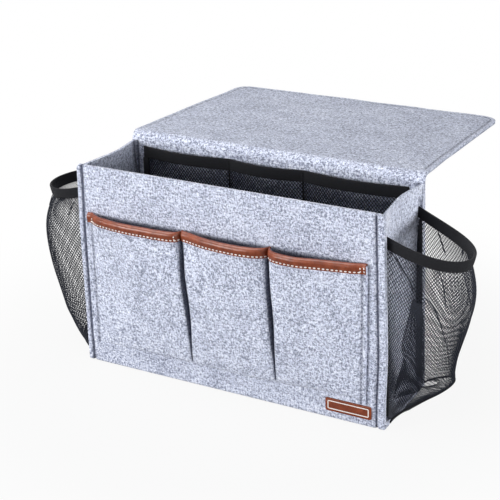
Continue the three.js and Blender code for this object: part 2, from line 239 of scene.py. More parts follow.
# %% The leather finish
leather, leather_shader, start = new_finish("brown_leather", Specular_IOR_Level=0.45)
cut_place = place_in_cloth(start)
blotches = flecks(cut_place, 0.16, 4)
pores = flecks(cut_place, 1.6, 3)
grain = start.node(
    "ShaderNodeTexVoronoi", {"feature": "DISTANCE_TO_EDGE"}, {"Vector": cut_place, "Scale": 1.5})
tan = tones(
    blotches * 0.65 + pores * 0.35,
    (0.30, paint(86, 37, 20)),
    (0.50, paint(122, 57, 32)),
    (0.72, paint(148, 77, 48)))
creased = relief(grain * 2 + pores * 0.5, 0.3, 0.0002)
feed(leather_shader, Base_Color=tan, Roughness=0.16 + pores * 0.16, Normal=creased)
print("leather:", len(leather.node_tree.nodes), "nodes")

# %% [markdown]
# ## Net yarn, tape and thread
# The net is knitted of thin black yarn that shines a little. The tapes and rims are black woven
# webbing with ribs across their length. An image of webbing would stretch along a curved rim, so
# waves in the tape's own millimetres make the ribs. The leather is sewn with pale thread and the
# felt with grey. Thread is two plies twisted together, so waves run slantwise over it.

# %% The black finishes
yarn, yarn_shader, start = new_finish("net_yarn", Specular_IOR_Level=0.28)
knit = flecks(place_in_cloth(start), 1.1, 2)
yarn_tone = tones(knit, (0.35, paint(17, 19, 25)), (0.65, paint(40, 44, 56)))
feed(yarn_shader, Base_Color=yarn_tone, Roughness=0.5 + knit * 0.25)


def weave(place, direction, scale):
    """Soft ribs that follow each other in one direction."""
    sockets = {"Vector": place, "Scale": scale, "Distortion": 0.8, "Detail": 1, "Detail Scale": 0.8}
    return place.node("ShaderNodeTexWave", {"bands_direction": direction}, sockets)


tape, tape_shader, start = new_finish("woven_tape", Specular_IOR_Level=0.15, Sheen_Weight=0.06)
cut_place = place_in_cloth(start)
ribs = weave(cut_place, "X", 0.38)
picks = weave(cut_place, "Y", 0.3)
lint = flecks(cut_place, 0.5, 3)
tape_tone = tones(
    ribs * 0.3 + picks * 0.15 + lint * 0.5,
    (0.20, paint(14, 14, 17)),
    (0.60, paint(27, 28, 32)),
    (0.85, paint(50, 51, 57)))
raised = relief(ribs * 0.6 + picks * 0.4, 0.6, 0.0003)
feed(tape_shader, Base_Color=tape_tone, Roughness=0.7 + lint * 0.25, Normal=raised)
print("tape:", len(tape.node_tree.nodes), "nodes")

# %% The threads
def twisted_thread(name, dark, pale):
    """A sewing thread of two plies in two tones."""
    material, shader, begin = new_finish(name, Roughness=0.6, Sheen_Weight=0.2)
    plies = begin.node(
        "ShaderNodeTexWave", {"bands_direction": "DIAGONAL"},
        {"Vector": place_in_cloth(begin), "Scale": 0.5, "Distortion": 0.5})
    tone = tones(plies, (0.1, dark), (0.7, pale))
    feed(shader, Base_Color=tone, Normal=relief(plies, 0.5, 0.0002))
    return material


pale_thread = twisted_thread("pale_thread", paint(214, 208, 202), paint(252, 249, 245))
grey_thread = twisted_thread("grey_thread", paint(168, 173, 190), paint(214, 219, 235))
print("finishes:", [material.name for material in bpy.data.materials])

# %% [markdown]
# ## How a sheet of cloth is made
# Each soft piece starts as a flat grid, as cloth starts flat on the cutting table. A place
# function lays every grid point where it belongs, the solidify operator gives the cloth its
# thickness behind that face, and a small bevel rounds its cut edges. Felt could also be
# simulated, but it is stiff and sewn along fixed seams, so laying it by rule is surer.

# %% The box's sizes
FELT = 3
GAP = 0.3
HEIGHT = 223.5
DEPTH = 100
HALF_WIDTH = 164.5
BASE_SPREAD = 338 / 329 - 1
MOUTH_ZONE = (150, 215)
LEFT_LEAN, LEFT_STRAIGHTENS, RIGHT_TUCK = 5.1, 1.5, 3


def even(first, last, step):
    """Places from first to last, about a step apart."""
    count = max(1, math.ceil(abs(last - first) / step))
    return [first + (last - first) * i / count for i in range(count + 1)]


def ease(low, high, x):
    """From 0 at low to 1 at high, smoothly."""
    t = min(max((x - low) / (high - low), 0), 1)
    return t * t * (3 - 2 * t)


def dent(distance, width=1.1):
    """How much a seam at this distance presses the felt, from 0 to 1."""
    return math.exp(-(distance / width) ** 2)


def spread(x, z):
    """The soft box is wider at its base: the x at height z of a place given at the mouth."""
    return x * (1 + BASE_SPREAD * (1 - z / HEIGHT))


def front_lean(side, y, z):
    """How far a front corner stands out: the left one leans out, the right one tucks in below."""
    if side < 0:
        lean = LEFT_LEAN - LEFT_STRAIGHTENS * ease(*MOUTH_ZONE, z)
    else:
        lean = -RIGHT_TUCK * (1 - ease(10, 90, z))
    return lean * (1 - ease(-DEPTH / 2, DEPTH / 2, y))


base_width = 2 * spread(HALF_WIDTH, 0)
print(f"the box is {2 * HALF_WIDTH:.0f} mm wide at its mouth and {base_width:.0f} mm at its base")

# %% Laying cloth
def flat_grid(columns, rows):
    """A grid as it lies on the table, with each point's column and row."""
    grid = bmesh.new()
    bmesh.ops.create_grid(grid, x_segments=len(columns) - 1, y_segments=len(rows) - 1, size=0.5)
    spots = [
        (columns[round((vert.co.x + 0.5) * (len(columns) - 1))],
         rows[round((vert.co.y + 0.5) * (len(rows) - 1))])
        for vert in grid.verts]
    return grid, spots


def round_edges(cloth, size, sharper_than=62):
    """Rounds the edges between faces that meet at a sharp angle."""
    sharp = [e for e in cloth.edges if e.calc_face_angle(0) > math.radians(sharper_than)]
    bmesh.ops.bevel(
        cloth, geom=sharp, offset=size, segments=2, profile=0.5, affect="EDGES", material=-1,
        clamp_overlap=True)


def lay_cloth(columns, rows, place, thickness, edge=0.6):
    """A sheet laid by place(column, row), which gives a point, its pattern place and its seam."""
    cloth, spots = flat_grid(columns, rows)
    sewn = cloth.verts.layers.float.new("sewn")
    cut = cloth.verts.layers.float_vector.new("cut")
    for vert, spot in zip(cloth.verts, spots):
        vert.co, vert[cut], vert[sewn] = place(*spot)
    cloth.normal_update()
    bmesh.ops.solidify(cloth, geom=cloth.faces[:], thickness=thickness)
    round_edges(cloth, edge)
    return cloth


def pinch(cloth, depth):
    """A seam's thread draws both faces of the cloth together."""
    sewn = cloth.verts.layers.float["sewn"]
    cloth.normal_update()
    for vert in cloth.verts:
        vert.co -= vert.normal * depth * max(vert[sewn], 0)


print("cloth is laid in millimetres, felt", FELT, "thick")

# %% Finishing a piece
def mark_places(cloth):
    """Keeps where each point lies as its pattern place, so that the faces of a sheet differ."""
    places = cloth.verts.layers.float_vector
    cut = places.get("cut")
    if cut is None:
        cut = places.new("cut")
    for vert in cloth.verts:
        vert[cut] = vert.co


def finish(name, cloth, material, body=None, stands_for=()):
    """The finished object, in metres, riding on a body and standing for CAD nodes."""
    if cloth.verts.layers.float_vector.get("cut") is None:
        mark_places(cloth)
    bmesh.ops.scale(cloth, vec=Vector((MM, MM, MM)), verts=cloth.verts[:])
    mesh = bpy.data.meshes.new(name)
    cloth.to_mesh(mesh)
    cloth.free()
    mesh.shade_smooth()
    mesh.set_sharp_from_angle(angle=math.radians(58))
    mesh.materials.append(material)
    made = bpy.data.objects.new(name, mesh)
    bpy.context.scene.collection.objects.link(made)
    if body:
        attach(made, body)
    if stands_for:
        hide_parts(*stands_for)
    triangles = sum(len(polygon.vertices) - 2 for polygon in mesh.polygons)
    print(f"{name}: {len(mesh.vertices)} points, {triangles} triangles")
    return made


# %% [markdown]
# ## The long felt strip
# Front, base, back and flap are one strip of felt that bends up from the base twice and folds
# over at the top of the back. Four plates would show joints where the real felt has none, so the
# strip is one sheet that follows a path of straight legs and turns. It bends with the flap across
# the fold. The front's left corner leans out a little and its right one tucks in near the floor.
# Seams press grooves along the corners and round the flap's free edge, and shade is painted
# into the grooves. Painted shade also darkens the inner plies, the flap's edge underneath, the felt
# behind the pockets and the left front groove, and painted light makes the cut edges paler.

# %% The strip's path
BEND = 3.6
FOLD = 6
DROOP = 4
FLAP_REACH = 223.97
BACK_TOP = 219.11
LEGS = [
    (HEIGHT - BEND, 0),
    (BEND * math.pi / 2, math.pi / 2),
    (DEPTH - 2 * BEND, 0),
    (BEND * math.pi / 2, math.pi / 2),
    (BACK_TOP - BEND, 0),
    (FOLD * math.radians(90 + DROOP), -math.radians(90 + DROOP)),
    (FLAP_REACH, 0),
]
STRIP_LENGTH = sum(length for length, _ in LEGS)
FLAP_START = STRIP_LENGTH - FLAP_REACH
FOLD_START = FLAP_START - LEGS[5][0]


def along_strip(along):
    """The outer face's place (y, z) at this length of the strip."""
    spot = Vector((-DEPTH / 2, HEIGHT))
    heading = Vector((0, -1))
    for length, angle in LEGS:
        step = min(along, length)
        if angle:
            radius = length / angle
            part = step / radius
            left = heading.orthogonal()
            spot = spot + heading * math.sin(part) * radius + left * (1 - math.cos(part)) * radius
            heading = heading * math.cos(part) + left * math.sin(part)
        else:
            spot = spot + heading * step
        along -= step
        if along <= 0:
            break
    return spot


print(f"the strip is {STRIP_LENGTH:.1f} mm long, its flap starts at {FLAP_START:.1f} mm")

# %% The strip's rows and columns
CORNER_SEAM = 6
FRONT_SEAMS = (6, 7.4)
FLAP_SEAM = 5
FLAP_CORNER = 18
FRONT_CORNER = 5
MARGIN = 30
margin_insets = [0, 1.2, 2.4, 3.4, 4.2, 4.7, 5.3, 5.9, 6.5, 7, 7.5, 8.1, 9, 11, 14, 18, 23]
strip_columns = [(1, inset) for inset in margin_insets]
strip_columns += [(0, share) for share in even(1, -1, 0.05)]
strip_columns += [(-1, inset) for inset in reversed(margin_insets)]
strip_rows = [0, 0.25, 0.7, 1.4, 2.4, 3.6] + even(FRONT_CORNER, 46, 7)
strip_rows += even(46, 62, 2)[1:] + even(62, LEGS[0][0], 7)[1:]
for leg, step in ((1, 0.7), (2, 10), (3, 0.7)):
    done = sum(length for length, _ in LEGS[:leg])
    strip_rows += even(done, done + LEGS[leg][0], step)[1:]
strip_rows += even(strip_rows[-1], FOLD_START - 8, 8)[1:]
strip_rows += even(FOLD_START - 8, FOLD_START, 1.1)[1:] + even(FOLD_START, FLAP_START, 0.6)[1:]
strip_rows += even(FLAP_START, FLAP_START + 12, 1.1)[1:]
strip_rows += even(FLAP_START + 12, STRIP_LENGTH - FLAP_CORNER, 6)[1:]
strip_rows += [
    STRIP_LENGTH - left for left in
    (15.5, 13, 11, 9.2, 7.6, 6.6, 5.8, 5.2, 4.6, 4, 3.3, 2.6, 1.9, 1.2, 0.6, 0.2, 0)]
print("the strip's grid:", len(strip_columns), "by", len(strip_rows), "points")

# %% Where the strip lies
FLAP_NARROWS = 4
# How strongly painted light makes cut edges paler.
EDGE_HIGHLIGHT = 0.6


def corner_loss(radius, left):
    """How much narrower a sheet with rounded corners is at this length from its end."""
    left = min(left, radius)
    return radius - math.sqrt(radius ** 2 - (radius - left) ** 2)


def flap_wave(x, along):
    """How far the loose flap lies up or down, more towards its free end."""
    return noise.noise(Vector((x, along, 0)) / 70) * 1.6 * ease(0, 60, along - FLAP_START)


def corner_groove(x, y, from_side):
    """The seams along the box's corners. The left front one is wider on its outer side."""
    if y >= 0:
        return 1.2 * dent(from_side - CORNER_SEAM, 1.3)
    inwards = from_side - FRONT_SEAMS[x > 0]
    return 1.5 * dent(inwards, 2.6 if inwards < 0 and x < 0 else 1.4)


def flap_groove(x, along, from_side):
    """The seam round the flap, shallower along its left edge."""
    left = STRIP_LENGTH - along
    distance = min(from_side, left)
    if from_side < FLAP_CORNER and left < FLAP_CORNER:
        distance = FLAP_CORNER - math.hypot(FLAP_CORNER - from_side, FLAP_CORNER - left)
    depth = 0.55 if x < 0 and left > FLAP_CORNER else 0.9
    return dent(distance - FLAP_SEAM) * ease(FLAP_START, FLAP_START + 10, along) * depth


def strip_place(column, along):
    """Where a point of the strip lies, its place on the flat cloth, and its seam with painted shade and
    light.
    """
    y, z = along_strip(along)
    on_flap = max(along - FLAP_START, 0) / FLAP_REACH
    side, inset = column
    full = spread(HALF_WIDTH, min(z, HEIGHT)) - FLAP_NARROWS * on_flap
    full += front_lean(side or inset, y, z)
    half = full - corner_loss(FLAP_CORNER, STRIP_LENGTH - along) - corner_loss(FRONT_CORNER, along)
    x = side * (half - inset) if side else inset * (half - MARGIN)
    from_side = full - abs(x)
    # A seam's value dents the felt and paints shade into its groove; below zero it is painted light that
    # makes cut edges paler.
    if along < FOLD_START:
        seam = corner_groove(x, y, from_side)
        seam -= EDGE_HIGHLIGHT * max(1 - ease(3.5, 6, from_side), 1 - ease(0.5, 2.5, along))
    else:
        seam = flap_groove(x, along, from_side)
    return Vector((x, y, z + flap_wave(x, along))), Vector((from_side, along, 0)), seam


print("the front's left edge stands at x =", round(strip_place((-1, 0), 100)[0].x, 1), "mm")

# %% The strip
CUT_EDGE = 1.3
PLY_SHADE, HEM_SHADE, POCKET_SHADE, GROOVE_SHADE = 0.35, 0.8, 1.6, 2.2
strip = lay_cloth(strip_columns, strip_rows, strip_place, FELT, edge=0.7)
pinch(strip, 0.8)
sewn = strip.verts.layers.float["sewn"]
flat_place = strip.verts.layers.float_vector["cut"]
# Painted shade darkens the inner plies' cut edges, the underside of the flap's edge, the felt behind the
# pockets and the left front groove.
for vert in strip.verts:
    from_side, along, _ = vert[flat_place]
    to_inside = abs(vert.co.y) < DEPTH / 2 - FELT * 0.7
    if along < FOLD_START and from_side < CUT_EDGE and to_inside:
        vert[sewn] = PLY_SHADE
    at_hem = along > FLAP_START and min(from_side, STRIP_LENGTH - along) < CUT_EDGE
    if at_hem and vert.normal.z < 0:
        vert[sewn] = HEM_SHADE
    if vert.co.y < -DEPTH / 2 + 1:
        behind = ease(48.5, 57, along) * (1 - ease(100, 120, along)) * ease(14, 30, from_side)
        vert[sewn] = max(vert[sewn], POCKET_SHADE * behind)
        if vert.co.x < 0:
            groove = dent(from_side - FRONT_SEAMS[0], 1.7)
            vert[sewn] = max(vert[sewn], GROOVE_SHADE * groove)
mark_places(strip)
felt_strip = finish(
    "felt_strip", strip, felt,
    stands_for=("front_panel", "base_panel", "back_panel", "mattress_flap"))
FOLD_BLEND = dict(start=(0, 0.0485, 0.2175), end=(0, 0.0575, 0.2275))
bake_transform(felt_strip, "box", "flap", **FOLD_BLEND)
STRIP_LENGTH * MM

# %% [markdown]
# ## The side panels
# Each side is a shallow tray of felt: its front, back and lower edges turn outwards and are sewn
# to the strip's edges. The web is one face with rounded lower corners. Its three sewn edges are
# extruded outwards, a bevel turns the sharp bends into soft ones, and planes cut it into rows.
# Near the mouth nothing holds the web flat, so there it bows in between the corners. The turned
# edges lean with the strip's corners. Painted shade darkens the bends and the plies' cut edges,
# and painted light makes the other cut edges paler.

# %% The side panels' form
FLANGE_FACE = DEPTH / 2 - FELT - GAP
WEB_INSIDE = HALF_WIDTH - 6 - FELT
SIDE_FOOT = FELT + GAP
SIDE_TOP, SIDE_SLOPE = HEIGHT - 3.2, 1.7
SIDE_CORNER, SIDE_BEND = 4.6, 4
mouth_bow = [
    (-46.7, 161.6), (-32, 160), (-17, 158.5), (-1, 156.8), (10, 156.4), (23, 157.6), (46.7, 160.5)]


def through(knots, x):
    """The height at x of a smooth line through measured places (x, height)."""
    last = len(knots) - 1
    i = min(max(sum(knot[0] <= x for knot in knots) - 1, 0), last - 1)
    (x0, y0), (x1, y1) = knots[i], knots[i + 1]

    def slope(k):
        before, after = knots[max(k - 1, 0)], knots[min(k + 1, last)]
        return (after[1] - before[1]) / (after[0] - before[0]) * (x1 - x0)

    t = min(max((x - x0) / (x1 - x0), 0), 1)
    steady = y0 + (y1 - y0) * t * t * (3 - 2 * t)
    return steady + slope(i) * t * (1 - t) ** 2 - slope(i + 1) * t * t * (1 - t)


def for_side(word, cloth):
    """A shape made for the right side, or its mirror image for the left."""
    if word == "left":
        bmesh.ops.scale(cloth, vec=Vector((-1, 1, 1)), verts=cloth.verts[:])
        bmesh.ops.reverse_faces(cloth, faces=cloth.faces[:])
    return cloth


def folded_tray():
    """A side's web with its three turned edges, still without thickness."""
    web = bmesh.new()
    bmesh.ops.create_grid(web, x_segments=1, y_segments=1, size=0.5)
    for vert in web.verts:
        y = -2 * vert.co.x * FLANGE_FACE
        top = SIDE_TOP - SIDE_SLOPE * y / FLANGE_FACE
        vert.co = Vector((WEB_INSIDE, y, SIDE_FOOT if vert.co.y < 0 else top))
    web.normal_update()
    low_corners = [vert for vert in web.verts if vert.co.z < HEIGHT / 2]
    bmesh.ops.bevel(
        web, geom=low_corners, offset=SIDE_CORNER, segments=5, profile=0.5, affect="VERTICES",
        material=-1)
    sewn_edges = [e for e in web.edges if min(v.co.z for v in e.verts) < HEIGHT / 2]
    turned = bmesh.ops.extrude_edge_only(web, edges=sewn_edges)["geom"]
    bmesh.ops.translate(
        web, vec=(HALF_WIDTH - WEB_INSIDE, 0, 0),
        verts=[v for v in turned if isinstance(v, bmesh.types.BMVert)])
    bmesh.ops.recalc_face_normals(web, faces=web.faces[:])
    if max(web.faces, key=lambda face: face.calc_area()).normal.x > 0:
        bmesh.ops.reverse_faces(web, faces=web.faces[:])
    bends = [e for e in web.edges if e.calc_face_angle(0) > 1]
    bmesh.ops.bevel(
        web, geom=bends, offset=SIDE_BEND, segments=4, profile=0.5, affect="EDGES", material=-1)
    for direction, places in (((0, 0, 1), even(16, 216, 6)), ((0, 1, 0), even(-36, 36, 6))):
        for place in places:
            everything = web.verts[:] + web.edges[:] + web.faces[:]
            bmesh.ops.bisect_plane(
                web, geom=everything, dist=0.001, plane_co=Vector(direction) * place,
                plane_no=direction)
    return web


print("the sides' webs bow in to x =", min(height for _, height in mouth_bow), "mm at the mouth")

# %% The side panels
WEB_DEPTH = HALF_WIDTH - WEB_INSIDE
SKIN = 0.8
INNER_BEND_SHADE, OUTER_BEND_SHADE = 1.3, 1.4
for word, side in (("right", 1), ("left", -1)):
    web = folded_tray()
    for vert in web.verts:
        x, y, z = vert.co
        bow = (through(mouth_bow, y) - WEB_INSIDE) * ease(*MOUTH_ZONE, z)
        share = (HALF_WIDTH - x) / WEB_DEPTH
        belly = 1.2 * noise.noise(Vector((y, z, 7)) / 60) * share
        vert.co.x = spread(HALF_WIDTH - share * (WEB_DEPTH - bow) + belly, z)
        vert.co.x += front_lean(side, y, z) * (1 - share)
    web.normal_update()
    bmesh.ops.solidify(web, geom=web.faces[:], thickness=FELT)
    round_edges(web, 0.7)
    sewn = web.verts.layers.float.new("sewn")
    for vert in web.verts:
        x, y, z = vert.co
        from_edge = spread(HALF_WIDTH, z) + front_lean(side, y, z) - x
        on_ply = abs(y) > FLANGE_FACE - SKIN or z < SIDE_FOOT + SKIN
        # Painted shade darkens the plies' cut edges and the bends; painted light makes the other cut edges
        # paler.
        if from_edge < CUT_EDGE:
            vert[sewn] = PLY_SHADE if on_ply else -EDGE_HIGHLIGHT
        elif from_edge > WEB_DEPTH - SKIN:
            vert[sewn] = INNER_BEND_SHADE * dent(FLANGE_FACE - abs(y), 3)
        else:
            vert[sewn] = OUTER_BEND_SHADE * dent(FLANGE_FACE - FELT - y, 3)
    panel = finish(
        f"{word}_felt_side", for_side(word, web), felt, "box", [f"{word}_side_panel"])

# %% [markdown]
# ## The front pockets
# One sheet of felt makes all three pockets. At its ends, along its foot and at two lines between
# the pockets it is sewn to the front. Between those seams it stands off, and each bay has a swell
# of its own, which the photograph shows in the curve of the binding. Towards the foot, where the
# seam rises to the right, the swell dies away. The lines between the pockets lie deep in narrow
# valleys that open halfway down like a leaf, and they are shaded, so they show as dark slits.

# %% The pockets' swell
POCKET_TOP, POCKET_BOTTOM = 174, 26
POCKET_SIDES = (-152, 146)
DIVIDERS = (-45.3, 50)
BODY_SWELL = 11.5
SLIT = 3.2
mouth_swells = [
    [(-152, 0), (-148, 2.2), (-140, 6), (-128, 8.4), (-115, 10.4), (-95, 11.2), (-75, 10.9),
     (-60, 9.8), (-53, 8.8), (-49.5, 7.6), (-47.3, 5.4), (-46.2, 2.4), (-45.3, 0)],
    [(-45.3, 0), (-44.4, 1.6), (-41, 2.3), (-34, 3.9), (-26, 6.6), (-16, 9.2), (-4, 10.7),
     (12, 11.5), (28, 11.4), (37, 10), (43, 7.8), (46.5, 6), (48.4, 4), (49.3, 1.8), (50, 0)],
    [(50, 0), (50.7, 2.4), (53, 6.4), (57, 9.3), (62, 11.1), (70, 12.2), (80, 12.6), (90, 11.2),
     (100, 9.2), (110, 7.2), (124, 4.7), (139, 2), (146, 0)],
]


def mouth_swell(x):
    """How far the pockets' mouth stands off, as measured along the bindings."""
    for knots in mouth_swells:
        if knots[0][0] <= x <= knots[-1][0]:
            return through(knots, x)
    return 0


def body_swell(x):
    """How far the pockets stand off below the mouth: full, with steep sides at the dividers."""
    swell = BODY_SWELL * ease(0, 60, min(abs(x - side) for side in POCKET_SIDES))
    for divider, rounding in zip(DIVIDERS, (0.15, 0.35)):
        past = x - divider
        swell *= ease(SLIT * 0.6, SLIT * 1.1, abs(past))
        if past < 0:
            swell *= 1 - rounding * (1 - ease(0, 16, -past))
    return swell


print("swell at the mouth, in mm:", [round(mouth_swell(x), 1) for x in range(-150, 151, 25)])

# %% Where the pocket sheet lies
DIVIDER_LEANS, DIVIDER_BOWS = (4.9, 2.3), (2.8, 1.4)
END_LEANS, RIGHT_END_IN = (-1.2, -3.7), -1.8
BEYOND_ENDS = 10


def pocket_across(x, share):
    """Where a place of the mouth lies lower down: dividers lean and their slits widen halfway."""
    slit = SLIT * (0.08 + 0.94 * math.sin(math.pi * share ** 1.2) + 0.25 * ease(0.6, 1, share))
    for divider in DIVIDERS:
        past = abs(x - divider)
        if past < 4 * SLIT:
            weight = past / SLIT if past < SLIT else (4 * SLIT - past) / (3 * SLIT)
            x += (slit - SLIT) * weight * (1 if x > divider else -1)
    leans = [
        lean * (1 - share) + bow * math.sin(math.pi * share)
        for lean, bow in zip(DIVIDER_LEANS, DIVIDER_BOWS)]
    left_end = END_LEANS[0] * (1 - share)
    right_end = RIGHT_END_IN + END_LEANS[1] * (1 - share) ** 1.3
    stops = [
        (POCKET_SIDES[0] - BEYOND_ENDS, left_end), (POCKET_SIDES[0], left_end),
        *zip(DIVIDERS, leans),
        (POCKET_SIDES[1], right_end), (POCKET_SIDES[1] + BEYOND_ENDS, right_end)]
    for (x0, lean0), (x1, lean1) in zip(stops, stops[1:]):
        if x0 <= x <= x1:
            return x + lean0 + (lean1 - lean0) * (x - x0) / (x1 - x0)
    return x


def foot_seam(x):
    """The height of the seam along the pockets' foot, which rises to the right."""
    return 28 + 4 * ease(20, 120, x)


def pocket_place(x, z):
    """Where a point of the pocket sheet lies, its place on the flat cloth, and its seam with painted shade
    and light.
    """
    above = z - foot_seam(x)
    share = min(max(above / (POCKET_TOP - foot_seam(x)), 0), 1)
    mouth = ease(125, 172, z)
    across = pocket_across(x, share)
    from_side = min(abs(x - side) for side in POCKET_SIDES)
    lift = 1.2 * ease(0, 10, from_side)
    out = mouth_swell(across) * mouth + body_swell(x) * (1 - mouth)
    loose = min(ease(4, 50, above), out / 6)
    y = -DEPTH / 2 - GAP - FELT - (out + lift) * share ** 0.55
    y -= 1.2 * noise.noise(Vector((x, 3, z)) / 48) * loose
    beyond = max(POCKET_SIDES[0] - x, x - POCKET_SIDES[1])
    # The seams get painted shade, and painted light makes the margin beyond the sewn ends paler.
    seam = max(dent(from_side), 0.4 * dent(above)) - 0.7 * ease(0.8, 2, beyond)
    return Vector((spread(across, z), y, z)), Vector((x, z, 0)), seam


print("the foot seam rises from", foot_seam(0), "to", foot_seam(POCKET_SIDES[1]), "mm")

# %% The pocket sheet
BINDING_RADIUS = FELT / 2 + GAP + 0.9
SHOULDER = POCKET_TOP - BINDING_RADIUS
SLIT_SHADE = 2.4
near_seam = [0.5, 1, 1.4, 1.8, 2.1, 2.4, 2.7, 3, 3.3, 3.8, 4.6, 5.8]
near_foot = [0, 0.7, 1.4, 2, 2.6, 3.3, 4, 5, 6, 7, 8.5, 10.5]
bays = {}
for word, knots in zip(("left", "middle", "right"), mouth_swells):
    first, last = knots[0][0], knots[-1][0]
    bays[word] = [first + x for x in near_seam] + even(first + 8, last - 8, 3.5)
    bays[word] += [last - x for x in reversed(near_seam)]
bays["left"] = [POCKET_SIDES[0] + x for x in (-6.5, -4, -2, -1, -0.5, 0)] + bays["left"]
bays["right"] += [POCKET_SIDES[1] + x for x in (0, 0.5, 1, 2, 4)]
pocket_columns = bays["left"] + [DIVIDERS[0]] + bays["middle"] + [DIVIDERS[1]] + bays["right"]
pocket_rows = [POCKET_BOTTOM + rise for rise in near_foot] + even(POCKET_BOTTOM + 13, SHOULDER, 4)
pocket = lay_cloth(pocket_columns, pocket_rows, pocket_place, FELT, edge=0.6)
pinch(pocket, 0.7)
sewn = pocket.verts.layers.float["sewn"]
flat_place = pocket.verts.layers.float_vector["cut"]
# Painted shade darkens the slits between the pockets.
for vert in pocket.verts:
    x, z, _ = vert[flat_place]
    past = min((x - divider for divider in DIVIDERS), key=abs)
    depth_of_slit = dent(past, 3.4 if past < 0 else 2.6) * ease(0, 4, z - foot_seam(x))
    vert[sewn] = max(vert[sewn], SLIT_SHADE * depth_of_slit)
mark_places(pocket)
pocket_sheet = finish("pocket_sheet", pocket, felt, "box", ["front_pocket_sheet"])

# %% [markdown]
# ## The leather bindings
# A strip of leather is folded over the top of each pocket and sewn through near its lower edge.
# It is rounded over the felt and a little puffed between fold and seam. A curve with a profile
# could make it too, but laid as a sheet it follows the same places across the mouth as the pocket.
# A second list goes round it: up the front, over the top and down behind.

# %% The leather bindings
BINDING_FOOT = 164
STITCH_RISE = 1.7
LEFT_OVERHANG = 5
foot_rise = BINDING_FOOT - SHOULDER
round_binding = [(-BINDING_RADIUS, foot_rise + z) for z in (0, 0.6, 1.2, 1.8, 2.4, 3.2, 4.4, 6)]
round_binding += [
    (-BINDING_RADIUS * math.cos(a), BINDING_RADIUS * math.sin(a))
    for a in even(0, math.pi, math.pi / 10)]
round_binding += [(BINDING_RADIUS, foot_rise + z) for z in (5, 2.5, 0)]


def binding_place(x, around):
    """Where a point of a binding lies, its place on the flat leather, and its seam."""
    across, rise = around
    middle = pocket_place(x, SHOULDER + min(rise, 0))[0]
    puff = 0.9 * math.sin(math.pi * ease(-6.4, 3, rise)) if across < 0 else 0
    seam = dent(rise - foot_rise - STITCH_RISE, 0.7) if across < 0 else 0
    point = Vector((middle.x, middle.y + FELT / 2 + across - puff, SHOULDER + rise))
    wobble = 0.25 * noise.noise(Vector((x, 0, 20)) / 9)
    return point + Vector((0, 0, wobble)), Vector((x, rise, across)), seam


for word, bay in bays.items():
    covered = [x for x in bay if x > POCKET_SIDES[0] - LEFT_OVERHANG]
    binding = lay_cloth(covered, round_binding, binding_place, 0.9, edge=0.25)
    pinch(binding, 0.35)
    mark_places(binding)
    strip_of_leather = finish(
        f"{word}_leather_binding", binding, leather, "box", [f"{word}_pocket_binding"])

# %% [markdown]
# ## The label
# A small leather label is fixed low on the front at the right. It is left bare but for a thin
# pale line near its edge. A scaled cube would have sharp corners, so the plate is one face whose
# corners are bevelled round before the solidify operator thickens it. The line is made the same
# way, a little smaller, and inset so that only a ring stays.

# %% The leather label
LABEL = (48.5, 14.5)
LABEL_RIGHT, LABEL_RISE = 150, 16.8
LABEL_THICK, LINE_OUT, LINE_SMALLER = 1.2, 1.4, 5.2
front = Vector((0, -1, 0))
label_middle = Vector((spread(LABEL_RIGHT, LABEL_RISE) - LABEL[0] / 2, 0, LABEL_RISE))


def rounded_plate(width, height, corner):
    """A flat face with rounded corners that looks to the front."""
    plate = bmesh.new()
    bmesh.ops.create_grid(plate, x_segments=1, y_segments=1, size=0.5)
    bmesh.ops.scale(plate, vec=Vector((width, height, 1)), verts=plate.verts[:])
    bmesh.ops.bevel(
        plate, geom=plate.verts[:], offset=corner, segments=5, profile=0.5, affect="VERTICES",
        material=-1)
    bmesh.ops.rotate(plate, matrix=Matrix.Rotation(math.pi / 2, 3, "X"), verts=plate.verts[:])
    plate.normal_update()
    return plate


def to_label_place(plate, out):
    """Moves a plate to the label's place, its face this far off the front."""
    place = label_middle + front * (DEPTH / 2 + GAP + out)
    bmesh.ops.translate(plate, vec=place, verts=plate.verts[:])


label = rounded_plate(*LABEL, 2.2)
bmesh.ops.solidify(label, geom=label.faces[:], thickness=LABEL_THICK)
to_label_place(label, LABEL_THICK)
round_edges(label, 0.45)
finish("leather_label_plate", label, leather, "box", ["leather_label"])

line = rounded_plate(LABEL[0] - LINE_SMALLER, LABEL[1] - LINE_SMALLER, 1.4)
middle = line.faces[:]
bmesh.ops.inset_individual(line, faces=middle, thickness=0.9, use_even_offset=True)
bmesh.ops.delete(line, geom=middle, context="FACES")
line.normal_update()
bmesh.ops.solidify(line, geom=line.faces[:], thickness=0.35)
to_label_place(line, LINE_OUT)
finish("label_line", line, pale_thread, "box")

# %% [markdown]
# ## Stitches
# The bindings, the pockets' ends and foot, the back's edges and the flap are sewn by machine, with
# a stitch about every four millimetres. The seams of the front corners lie deep in their grooves,
# so no thread shows there. Each stitch is a small grain of thread that lies half sunk in its dent.
# A tube would be rounder, but a low sphere stretched along the seam keeps hundreds of them light.

